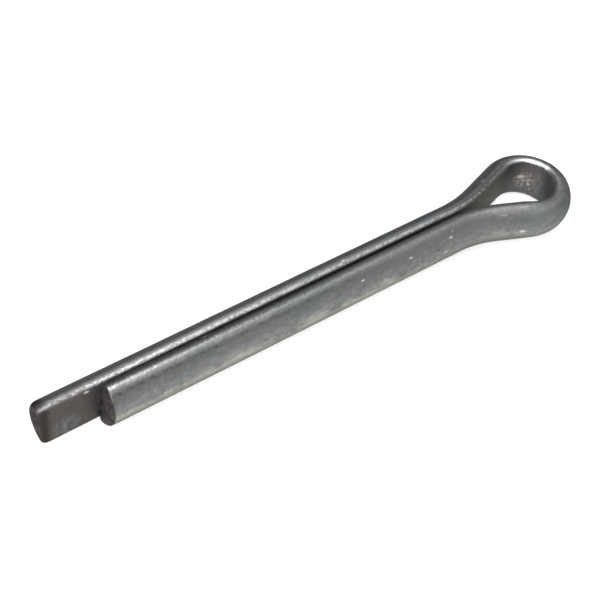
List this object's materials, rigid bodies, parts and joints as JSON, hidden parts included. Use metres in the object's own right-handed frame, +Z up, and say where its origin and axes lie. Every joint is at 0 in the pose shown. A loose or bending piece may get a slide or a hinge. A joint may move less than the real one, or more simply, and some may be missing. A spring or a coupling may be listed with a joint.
{
  "type": "split cotter pin",
  "caption": "Half-round steel wire doubled back into a pin, with an open eye at one end and one leg left longer, to lock a shaft, nut or clevis pin.",
  "frame": {"origin": "on the axis of the shank at the neck, where the legs begin to part into the eye", "axes": "+X along the pin from the tips to the eye, +Y towards the longer leg, +Z up, with the pin lying on its side and the eye flat"},
  "size_m": [0.0736, 0.012, 0.0056],
  "materials": {
    "wire": "dull zinc plate, scuffed and mottled"
  },
  "bodies": {
    "root": {"split_pin": "wire"}
  },
  "joints": []
}
